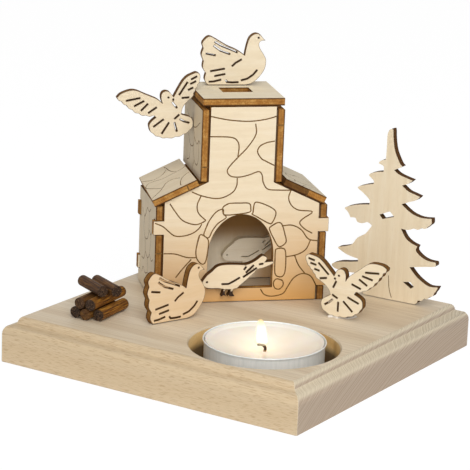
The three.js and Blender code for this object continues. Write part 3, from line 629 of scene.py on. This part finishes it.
# Burnt lines of the house's stones, in millimetres on each sheet's outer face
FRONT_LINES = [
    [(-10.7, 77.2), (-4.3, 75.9), (2.4, 75.4), (7.8, 76.0), (11.5, 77.0)],
    [(4.5, 74.6), (4.7, 71.0), (2.1, 66.8), (-0.8, 63.7), (-3.5, 60.7), (-4.3, 58.9), (-3.0, 57.3),
     (0.0, 57.0), (3.1, 57.7), (6.1, 58.7), (7.3, 57.5), (7.8, 55.0), (9.4, 52.8), (13.1, 52.4), (17.2, 52.3)],
    [(-10.5, 70.5), (-3.5, 70.2), (-1.3, 68.9), (-0.7, 66.8), (-1.0, 63.7)],
    [(11.1, 68.8), (8.2, 68.2), (6.1, 67.0), (5.5, 65.2), (6.8, 63.1), (8.4, 62.1), (11.6, 60.5)],
    [(-0.9, 56.7), (-1.0, 54.2), (-2.2, 52.0), (-5.2, 50.3), (-8.3, 50.0), (-12.6, 51.0), (-15.7, 52.3)],
    [(-12.6, 51.0), (-13.8, 48.0), (-13.3, 45.2), (-10.8, 42.7)],
    [(-22.8, 48.5), (-20.9, 45.7), (-18.4, 42.8), (-14.7, 41.4), (-12.3, 41.8), (-10.8, 42.7)],
    [(-27.5, 42.1), (-24.7, 40.8), (-21.3, 37.9), (-18.2, 37.6), (-15.2, 38.4), (-13.1, 39.9), (-12.1, 41.5)],
    [(-24.4, 31.8), (-20.5, 31.6), (-16.8, 30.4), (-13.7, 30.2)],
    [(-15.2, 29.7), (-17.9, 26.6), (-20.2, 23.6)],
    [(17.2, 52.3), (16.5, 49.9), (17.4, 47.4), (19.9, 45.6), (24.7, 44.9), (21.6, 42.6), (20.6, 41.1),
     (22.4, 39.1), (25.0, 37.6)],
    [(14.6, 40.3), (18.0, 40.5), (21.2, 38.9), (23.8, 35.7), (27.0, 35.0)],
    [(24.5, 35.3), (23.1, 32.2), (20.3, 30.5), (16.6, 29.8)],
    [(19.3, 30.4), (20.8, 26.9), (23.1, 24.0)],
    [(8.3, 19.0), (9.7, 17.1), (12.2, 16.4), (15.9, 17.2), (17.4, 19.4), (19.4, 22.5), (22.2, 23.9),
     (25.1, 23.0), (27.1, 19.8)],
]
ARCH_STONES = [
    [(-12.7, 37.7), (-13.7, 33.1), (-13.4, 30.0), (-11.8, 28.1), (-10.5, 28.6), (-9.8, 32.4), (-9.7, 35.8),
     (-10.9, 37.3)],
    [(-11.2, 38.6), (-9.8, 42.3), (-7.5, 45.4), (-5.3, 46.3), (-5.0, 44.7), (-4.1, 43.5), (-6.7, 41.6),
     (-8.5, 39.2), (-9.6, 36.9), (-11.0, 37.4)],
    [(-5.1, 47.2), (-3.3, 48.2), (0.4, 48.3), (3.4, 48.1), (4.0, 46.4), (3.6, 45.2), (-0.1, 44.6),
     (-4.4, 44.4), (-5.3, 45.6)],
    [(4.8, 45.1), (5.0, 47.6), (6.0, 48.5), (9.7, 47.2), (12.1, 45.6), (12.4, 44.0), (11.4, 41.6),
     (10.2, 41.3), (6.1, 43.6), (4.5, 44.5)],
    [(10.7, 40.0), (13.0, 41.4), (14.6, 40.9), (15.8, 37.4), (16.3, 34.9), (14.9, 33.5), (13.6, 33.6),
     (12.0, 36.2), (10.7, 38.8)],
    [(13.1, 32.5), (14.9, 32.8), (16.2, 31.7), (16.5, 26.7), (16.0, 23.6), (14.4, 23.0), (13.0, 24.3),
     (12.8, 29.3), (12.8, 31.5)],
    [(14.1, 22.3), (15.6, 21.7), (15.9, 20.1), (14.7, 18.8), (13.2, 19.2), (12.6, 20.8), (13.1, 22.0)],
]
FRONT_LINES += [stone + stone[:2] for stone in ARCH_STONES]
LEFT_ROOF_LINES = [
    [(4.8, 35.6), (5.3, 32.3), (5.4, 30.4), (6.0, 27.4), (7.3, 25.3), (9.2, 25.4), (11.0, 26.8)],
    [(4.9, 31.8), (3.3, 29.0), (1.2, 27.6), (-1.2, 27.8), (-4.2, 31.2)],
    [(7.2, 24.7), (5.4, 24.7), (2.0, 24.4), (-0.2, 25.5), (-2.5, 26.1), (-3.8, 24.6), (-4.3, 22.7), (-3.3, 20.4),
     (-1.5, 17.3), (-0.1, 15.7)],
    [(6.8, 17.2), (5.4, 18.9), (3.7, 19.3), (2.0, 18.4), (0.2, 15.4), (-1.5, 12.9), (-3.4, 11.2), (-5.0, 9.7)],
    [(10.5, 19.0), (8.7, 17.7), (7.2, 16.0), (6.2, 13.3), (5.6, 10.4), (5.8, 9.6)],
]
RIGHT_ROOF_LINES = [
    [(-8.6, 25.0), (-6.5, 22.4), (-4.0, 22.8), (-1.6, 25.6), (1.2, 26.0), (4.4, 24.4)],
    [(-6.5, 22.4), (-6.9, 18.6), (-4.9, 15.8), (-1.7, 15.3), (1.0, 17.2), (4.6, 16.8)],
    [(-3.6, 8.8), (-2.4, 11.3), (-1.0, 11.6), (-0.4, 9.9), (-1.2, 8.8)],
    [(-4.9, 15.8), (-5.6, 12.4), (-8.4, 10.4)],
]
WALL_LINES = [
    [(-31.8, 41.4), (-28.4, 39.4), (-26.2, 40.9), (-23.8, 43.4), (-20.6, 42.9), (-17.6, 44.6)],
    [(-28.4, 39.4), (-29.3, 35.4), (-26.6, 32.6), (-22.4, 33.4), (-20.2, 36.9), (-20.6, 42.9)],
    [(-20.2, 36.9), (-16.6, 36.2), (-14.2, 38.0), (-11.6, 37.6)],
    [(-26.6, 32.6), (-25.6, 28.2), (-28.0, 25.0), (-31.6, 24.6)],
    [(-25.6, 28.2), (-21.4, 27.0), (-18.4, 29.2), (-16.6, 33.2), (-16.6, 36.2)],
    [(-21.4, 27.0), (-20.8, 22.2), (-17.6, 19.4), (-13.4, 20.4), (-11.8, 23.6)],
    [(-20.8, 22.2), (-25.2, 20.8), (-28.6, 22.0), (-31.0, 19.6)],
    [(-18.4, 29.2), (-14.6, 27.8), (-11.6, 29.4)],
]
TOWER_LINES = [
    [(-33.0, 74.4), (-29.2, 72.0), (-25.6, 73.2), (-22.4, 71.0), (-17.6, 71.8), (-12.2, 74.4)],
    [(-29.2, 72.0), (-29.8, 67.4), (-26.4, 64.0), (-21.8, 64.8), (-20.6, 68.0), (-22.4, 71.0)],
    [(-20.6, 68.0), (-16.2, 66.4), (-13.2, 68.2), (-11.0, 67.6)],
    [(-26.4, 64.0), (-27.2, 59.6), (-31.4, 57.8)],
    [(-21.8, 64.8), (-19.6, 60.4), (-15.4, 59.6), (-13.0, 62.6), (-13.2, 68.2)],
    [(-19.6, 60.4), (-22.2, 56.6), (-20.6, 53.4)],
]


def mirrored(lines):
    """The same lines for the opposite wall, whose right axis runs the other way."""
    return [[(-x, z) for x, z in line] for line in lines]


def front_painted_light_and_shade(corners):
    """The front is painted more golden and darker towards its foot, most of all under the arch and at the right:
    painted shade from the doves standing in front of it, and painted warm light thrown back from the beech and the
    flame."""
    x, _, z = corners.T
    foot = fade(z, 52, 17)
    sill = fade(z, 26, 15)
    right = fade(x, 4, 24) * fade(z, 56, 30)
    return np.clip(0.1 + 0.5 * foot + 0.24 * sill + 0.12 * right, 0, 1)


def back_painted_shade(corners):
    """Painted shade on the back panel's inner face: brown from the arch's top upwards and towards the right."""
    x, y, z = corners.T
    return np.maximum(fade(z, 26.5, 34.5), 0.7 * fade(x, 9, 17)) * (y < BACK_MIDDLE)


def darkest_back_shade(corners):
    """The painted shade's darkest part, over the arch."""
    _, y, z = corners.T
    return 0.5 * fade(z, 25.5, 33.5) * (y < BACK_MIDDLE)


def darker_by_tower(corners):
    """The right roof's front edge is painted darker between the chimney and its joint."""
    x, _, z = corners.T
    return 0.75 * fade(x - 0.46 * (z - 50.9), 22.9, 22.3)


def pecking_tips(corners):
    """The pecking dove's feet and beak are charred black."""
    x, _, z = corners.T
    return np.maximum(fade(z, 19.6, 19.2), fade(x, -11.6, -12.0) * fade(z, 23.2, 22.8))


# the y of the middle of the back panel's thickness
BACK_MIDDLE = corners_of(nodes["back_panel"].data)[:, 1].mean()
# node, outward way, lines on its face, ticks across its front edge, golden tone with painted warm light, greyness
# with painted shade, and char
HOUSE_SHEETS = [
    ("left_wall", (-1, 0, 0), WALL_LINES, [[(-29, 31.9), (-23, 31.9)]], 0.12, 0.08, 0.3),
    ("right_wall", (1, 0, 0), mirrored(WALL_LINES), (), 0.12, 0.08, 0.3),
    ("tower_left_side", (-1, 0, 0), TOWER_LINES, [[(-15, 60.4), (-9, 60.4)]], 0.1, 0.3, 0.1),
    ("tower_right_side", (1, 0, 0), mirrored(TOWER_LINES), [[(10, 74.0), (16, 74.0)]], 0.1, 0.3, 0.1),
    ("left_roof", (0, 0, 1), LEFT_ROOF_LINES, [[(-18.4, 56.3), (-16.4, 52.0)]], 0.12, 0.1, 0.1),
    ("right_roof", (0, 0, 1), RIGHT_ROOF_LINES, [[(21.9, 49.5), (23.7, 53.4)]], 0.0, 0.3, darker_by_tower),
    ("tower_lid", (0, 0, 1), (), (), 0.0, 0.0, 0.1),
]
# the front is painted golden and darker towards its foot, as painted shade and painted warm light
dress_sheet("front_panel", (0, -1, 0), FRONT_LINES, LINE_WIDTH, grain="across", warm_tone_and_light=front_painted_light_and_shade, tone_and_shade=0.08)
# the back panel's inner face carries painted shade, brown over the arch and to the right
dress_sheet("back_panel", (0, 1, 0), warm_tone_and_light=back_painted_shade, burn_and_shade=darkest_back_shade, net=BACK_NET)
for node, outward, lines, ticks, warm, tone_and_shade, char in HOUSE_SHEETS:
    grain = "across" if node in ("left_roof", "right_roof", "tower_lid") else "up"
    dress_sheet(node, outward, lines, ticks=ticks, grain=grain, warm_tone_and_light=warm, tone_and_shade=tone_and_shade, char=char)

FIR_LINE = [(32.8, 23.2), (33.3, 18.9), (34.3, 15.8)]
dress_sheet("fir_tree", (0, -1, 0), [FIR_LINE], warm_tone_and_light=0.08, tone_and_shade=0.06, char=0.85, eased=False)
for node, warm, tone_and_shade, char in [("dove_on_lid", 0.06, 0.1, 0.6), ("dove_front_left", 0.42, 0.0, 0.5),
                               ("dove_flying_left", 0.08, 0.13, 0.65), ("dove_flying_right", 0.1, 0.0, 0.65),
                               ("dove_pecking_front", 0.14, 0.0, 0.85), ("dove_pecking_inside", 0.0, 0.0, 0.0)]:
    inside = node == "dove_pecking_inside"
    dress_sheet(node, (0, -1, 0), grain="across", warm_tone_and_light=warm, tone_and_shade=tone_and_shade, char=char, eased=False,
                burn_and_shade=pecking_tips if node == "dove_pecking_front" else 0,
                pale_edge=inside, net=DOVE_NET, singed=not inside)


# Beech block

TEALIGHT_AT = np.array([-0.6, -35.8, 4.05])
RECESS_RADIUS = 23.6
# the arrises' easing, and the least area in square millimetres of a face that
# is flat and not part of the moulding, an arris or the bore
ARRIS, WIDE_FACE = 0.3, 500


def dress_block():
    """The CAD block with its arrises eased; the moulding stays crisp and the recess has its own material, turned
    beech with painted warm light and painted shade."""
    block = whole("base_block")
    centre = Vector(TEALIGHT_AT[:2] * MM)
    for face in block.faces:
        at = face.calc_center_median()
        inside = (at.xy - centre).length < (RECESS_RADIUS + 0.2) * MM and abs(face.normal.z) < 0.5
        face.material_index = 1 if inside and at.z > 2 * MM else 0
    arrises = [e for e in block.edges if len(e.link_faces) == 2
               and e.calc_face_angle(0) > math.radians(60)]
    bmesh.ops.bevel(block, geom=arrises, offset=ARRIS * MM, offset_type="OFFSET", segments=3, profile=0.5,
                    affect="EDGES", clamp_overlap=True)
    mesh = bpy.data.meshes.new("beech_block")
    block.to_mesh(mesh)
    block.free()
    smooth(mesh, 30)
    areas = np.zeros(len(mesh.polygons))
    mesh.polygons.foreach_get("area", areas)
    mesh.polygons.foreach_set("use_smooth", areas < WIDE_FACE * MM ** 2)
    piece("beech_block", mesh, (BEECH, BORE), "holder", "base_block")


dress_block()


# Logs


def dress_log(node, tone, char):
    """A stained dowel: a tube whose radius wavers a little along and around it,
    its ends rounded over and rough like sawn and charred end grain."""
    corners = corners_of(nodes[node].data)
    middle = (corners.min(0) + corners.max(0)) / 2
    spread = np.unique(corners.round(3), axis=0) - middle
    way = np.linalg.svd(spread, full_matrices=False)[2][0]
    way *= np.sign(way[1])
    along = spread @ way
    half = along.max()
    radius = np.linalg.norm(spread - along[:, None] * way, axis=1).max()
    rows, segments = 26, 40
    body = np.linspace(-half + 0.35, half - 0.35, rows)
    end = [(0.0, half), (0.3, half), (0.55, half), (0.8, half), (0.93, half - 0.03), (0.985, half - 0.15)]
    profile = np.array([(radius * part, -at) for part, at in end]
                       + [(radius, at) for at in body]
                       + [(radius * part, at) for part, at in end[::-1]])
    count = len(profile) - 2
    angle = np.arange(segments) * 2 * np.pi / segments
    phase = rng.uniform(0, 2 * np.pi, 4)
    heights = profile[1:-1, 1]
    waver = 1 - 0.012 - 0.012 * (np.sin(2 * angle + phase[0] + 0.2 * heights[:, None])
                                 * np.sin(0.35 * heights[:, None] + phase[1]))
    waver = waver - 0.008 * np.abs(np.sin(7 * angle + phase[2] + 0.05 * heights[:, None]))
    points, faces = turned(profile, segments, waver)
    radial = np.linalg.norm(points[:, :2], axis=1)
    flat_end = (np.abs(points[:, 2]) > half - 0.2) & (radial < radius * 0.95)
    points[flat_end, 2] -= np.sign(points[flat_end, 2]) * rng.uniform(0, 0.22, flat_end.sum())
    theta = np.concatenate([np.tile(angle, count), [0, 0]])
    length = points[:, 2].copy()
    basis_side = np.cross(way, [0, 0, 1])
    basis_side /= np.linalg.norm(basis_side)
    basis_up = np.cross(basis_side, way)
    placed = middle + points[:, :1] * basis_side + points[:, 1:2] * basis_up + points[:, 2:] * way
    mesh = mesh_of("dowel_" + node, placed, faces)
    face_outwards(mesh)
    chart(mesh, "bark_mm", np.stack([theta * radius + phase[3] * 10, length], -1))
    attribute(mesh, "tone", tone)
    attribute(mesh, "cut", np.clip((np.abs(length) - (half - 0.5)) / 0.3, 0, 1) * char)
    smooth(mesh, 40)
    piece("dowel_" + node, mesh, (DOWEL,), "holder", node)


for node, tone, char in [("log_1", 0.9, 1), ("log_2", 0.4, 0.45), ("log_3", 0.1, 1), ("log_4", 0.85, 1),
                         ("log_5", 0.25, 0.7), ("log_6", 0.2, 1), ("log_7", 0.15, 0.9)]:
    dress_log(node, tone, char)


# Tealight

CUP_RADIUS, CUP_RIM, CUP_HEIGHT = 18.8, 19.25, 12.4
WAX_TOP, BOWL_DIP, WAX_RADIUS = 11.6, 3.2, 18.25


def arc(centre, radius, start, end, steps):
    """Points of an arc, angles in degrees from the radius axis."""
    angle = np.radians(np.linspace(start, end, steps))
    return np.stack([centre[0] + radius * np.cos(angle), centre[1] + radius * np.sin(angle)], -1)


def dress_cup():
    """A foil cup: a rounded foot, a thin wall with faint draw pleats, and a rim
    rolled outwards into a bead."""
    bead = 0.18
    middle = (CUP_RIM - bead, CUP_HEIGHT - bead)
    profile = np.vstack([
        [[0, 0.35], [9, 0.35], [11, 0.05], [16.4, 0.0]],
        arc((CUP_RADIUS - 1.2, 1.2), 1.2, -90, 0, 7),
        [[CUP_RADIUS, 4], [CUP_RADIUS, 8], [CUP_RADIUS, CUP_HEIGHT - 1.1]],
        arc(middle, bead, -60, 180, 13),
        [[CUP_RADIUS - 0.3, CUP_HEIGHT - 1.2], [CUP_RADIUS - 0.3, 6]],
        arc((CUP_RADIUS - 1.5, 1.5), 1.2, 0, -90, 5),
        [[11, 0.34], [9, 0.64], [0, 0.64]],
    ])
    profile[:, 1] = np.maximum(profile[:, 1], 0)
    segments = 180
    angle = np.arange(segments) * 2 * np.pi / segments
    heights = profile[1:-1, 1:]
    wall = np.clip(heights / 3, 0, 1) * (profile[1:-1, :1] > CUP_RADIUS - 1)
    waver = 1 + wall * (0.0008 * np.sin(36 * angle + 1.3 * np.sin(5 * angle)) + 0.0012 * np.sin(3 * angle + 1))
    points, faces = turned(profile, segments, waver)
    mesh = mesh_of("foil_cup", points + TEALIGHT_AT, faces)
    smooth(mesh, 40)
    piece("foil_cup", mesh, (FOIL,), "tealight", "tealight_cup")


def dress_wax():
    """Wax: a rim that climbs the foil, a soft bank, and a bowl whose floor is
    level round the wick, with a small rise where the wick drinks."""
    radius = np.linspace(WAX_RADIUS - 0.05, 0.9, 22)
    part = (WAX_RADIUS - radius) / WAX_RADIUS
    floor = WAX_TOP - BOWL_DIP * (1 - (1 - fade(part, -0.25, 1.0)) / (1 - fade(0, -0.25, 1.0)))
    floor[0] = WAX_TOP + 0.6
    bowl = np.stack([radius, floor], -1)
    profile = np.vstack([
        [[0, 1.0], [12, 1.0], [17, 1.0], [WAX_RADIUS, 1.9], [WAX_RADIUS, 6],
         [WAX_RADIUS + 0.17, WAX_TOP], [WAX_RADIUS + 0.2, WAX_TOP + 0.58]],
        bowl,
        [[0.62, WAX_TOP - BOWL_DIP + 0.1], [0, WAX_TOP - BOWL_DIP + 0.12]],
    ])
    points, faces = turned(profile, 96)
    mesh = mesh_of("melted_wax", points + TEALIGHT_AT, faces)
    smooth(mesh, 50)
    piece("melted_wax", mesh, (WAX,), "tealight", "wax")


def dress_wick():
    """The wick: a round section carried up out of the wax and hooked over to the
    left, thinner and knobbly where the braid has burnt."""
    path = curve_through([(0, 0, 0.6), (0, 0, 4), (0, 0, 7.6), (0.25, 0, 8.8), (0.25, 0, 9.7), (-0.25, 0, 10.4),
                          (-1.2, 0, 10.75), (-2.2, 0, 10.75)], 6)
    count, segments = len(path), 14
    way = directions(path)
    side = np.tile([0.0, 1.0, 0.0], (count, 1))
    lift = np.cross(way, side)
    part = np.linspace(0, 1, count)[:, None]
    angle = np.arange(segments) * 2 * np.pi / segments
    radius = (0.5 - 0.12 * fade(part, 0.75, 1.0)) * (1 - 0.1 * np.abs(np.sin(2 * angle + 40 * part)))
    ring = path[:, None] + radius[..., None] * (np.cos(angle)[None, :, None] * side[:, None]
                                                + np.sin(angle)[None, :, None] * lift[:, None])
    index = np.arange(count * segments).reshape(count, segments)
    after = np.roll(index, -1, 1)
    quads = np.stack([index[:-1], after[:-1], after[1:], index[1:]], -1).reshape(-1, 4).tolist()
    faces = quads + [index[0][::-1].tolist(), index[-1].tolist()]
    mesh = mesh_of("hooked_wick", ring.reshape(-1, 3) + TEALIGHT_AT, faces)
    face_outwards(mesh)
    smooth(mesh, 50)
    piece("hooked_wick", mesh, (WICK,), "tealight", "wick")


def add_flame(name, finish, low, high, width):
    """The flame: a drop swept round its own axis, widest a little above its foot
    and drawn out to a blunt tip, its axis leaning to the left."""
    part = np.linspace(0, 1, 30)
    radius = width * np.minimum(1, part / 0.12) ** 0.5 * (1 - 0.42 * part) * (1 - part ** 6) ** 0.5
    points, faces = turned(np.stack([radius, low + (high - low) * part], -1), 32)
    points[:, 0] += TEALIGHT_AT[0] - 0.4 - 0.1 * (points[:, 2] - low)
    points[:, 1] += TEALIGHT_AT[1] + 1.2
    mesh = mesh_of(name, points, faces)
    smooth(mesh, 60)
    made = piece(name, mesh, (finish,), "tealight")
    made.visible_shadow = False


dress_cup()
dress_wax()
dress_wick()
add_flame("flame", FLAME, 14.4, 22.3, 1.9)
add_flame("flame_edge", HALO, 13.9, 22.8, 2.4)
nodes["wick_tab"].material_slots[0].material = TIN


# Glue


def add_glue(name, places, height):
    """Dried glue: low domes, each a turned cap with a wavering edge, pressed
    together in a row on the block's top."""
    points, faces, start = [], [], 0
    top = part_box("base_block")[1].z / MM
    for x, y, radius in places:
        part = np.linspace(0, 1, 8)
        profile = np.stack([radius * np.sin(part * np.pi / 2), height * np.cos(part * np.pi / 2)], -1)[::-1]
        profile = np.vstack([[[0, 0]], profile[:-1], [[0, height]]])
        waver = 1 + 0.16 * np.sin(3 * np.arange(20) * 2 * np.pi / 20 + rng.uniform(0, 6)) * np.ones((7, 1))
        grid, quads = turned(profile, 20, waver)
        points.append(grid + [x, y, top + 0.02])
        faces += [[i + start for i in face] for face in quads]
        start += len(grid)
    mesh = mesh_of(name, np.vstack(points), faces)
    smooth(mesh, 60)
    piece(name, mesh, (GLUE,), "holder")


add_glue("glue_under_flyer", [(27.6, -9.6, 1.3), (29.3, -10.4, 1.5), (31.4, -11.2, 1.4), (33.3, -11.4, 1.5),
                              (35.0, -10.6, 1.1)], 0.7)


# Floor, light and camera


def white_floor():
    """A white table top that the camera sees as plain white with a faint shadow."""
    made, tree = material("white_table_top")
    rays = add(tree, "LightPath")
    seen = add(tree, "Math", {0: rays.outputs["Is Camera Ray"], 1: 0.88}, operation="MULTIPLY")
    paint = add(tree, "BsdfDiffuse", {"Color": "#F4F4F4"})
    glow = add(tree, "Emission", {"Color": "#FFFFFF", "Strength": 1.06})
    both = add(tree, "MixShader", {0: seen, 1: paint, 2: glow})
    add(tree, "OutputMaterial", {"Surface": both})
    return made


def add_stage():
    size = 3.0
    mesh = bpy.data.meshes.new("floor")
    z = -0.05 * MM
    mesh.from_pydata([(-size, -size, z), (size, -size, z), (size, size, z), (-size, size, z)], [], [(0, 1, 2, 3)])
    mesh.materials.append(white_floor())
    floor = linked("floor", mesh)

    world = bpy.data.worlds.new("studio")
    bpy.context.scene.world = world
    world.use_nodes = True
    tree = world.node_tree
    tree.nodes.clear()
    rays = add(tree, "LightPath")
    seen = add(tree, "Math", {0: rays.outputs["Is Camera Ray"], 1: rays.outputs["Is Glossy Ray"]},
               operation="MAXIMUM")
    seen = add(tree, "Math", {0: seen, 1: rays.outputs["Is Transmission Ray"]}, operation="MAXIMUM")
    room = add(tree, "Background", {"Color": "#FFFFFF", "Strength": 0.36})
    white = add(tree, "Background", {"Color": "#FFFFFF", "Strength": 1.0})
    both = add(tree, "MixShader", {0: seen, 1: room, 2: white})
    add(tree, "OutputWorld", {"Surface": both})


def add_lamp(name, place, target, size, power):
    """A white round area lamp, turned to its target; both places in metres."""
    lamp = bpy.data.lights.new(name, "AREA")
    lamp.shape = "DISK"
    lamp.size = size
    lamp.energy = power
    way = Vector(target) - Vector(place)
    turn = way.to_track_quat("-Z", "Y").to_matrix().to_4x4()
    linked(name, lamp).matrix_world = Matrix.Translation(place) @ turn


def add_glow(name, place, radius, power, tint):
    """A small round light; its place and radius are in millimetres."""
    glow = bpy.data.lights.new(name, "POINT")
    glow.energy = power
    glow.shadow_soft_size = radius * MM
    glow.color = colour(tint)[:3]
    linked(name, glow).location = Vector(place) * MM


def add_camera():
    """The photograph's own viewpoint, 0.75 m away, a little above and left."""
    right = Vector((0.975918, -0.214960, 0.037107))
    up = Vector((0.021896, 0.265779, 0.963785))
    back = Vector((-0.217037, -0.939763, 0.264086))
    camera = bpy.data.cameras.new("view")
    camera.sensor_width = 36
    camera.lens = 176.72
    camera.shift_x = 0.0014
    camera.shift_y = -0.00082
    camera.clip_start = 0.05
    holder = linked("view", camera)
    turn = Matrix((right, up, back)).transposed().to_4x4()
    holder.matrix_world = Matrix.Translation((-0.163958, -0.695922, 0.235819)) @ turn
    bpy.context.scene.camera = holder


add_stage()
add_lamp("key", (-0.1, -1.22, 1.14), (0, 0, 0.03), 1.3, 17)
add_lamp("front_fill", (-0.2, -1.0, 0.32), (0, 0, 0.04), 0.62, 2.5)
add_glow("flame_glow", TEALIGHT_AT + (-1, 1, 14.5), 2, 0.001, "#FFE2B8")
# hidden behind the sill: the inside is lightest low down, as in the photograph
add_glow("inside_fill", (3, 17, 16.8), 3, 0.0014, "#DFE9FF")
add_camera()
bpy.context.scene.view_settings.view_transform = "Standard"
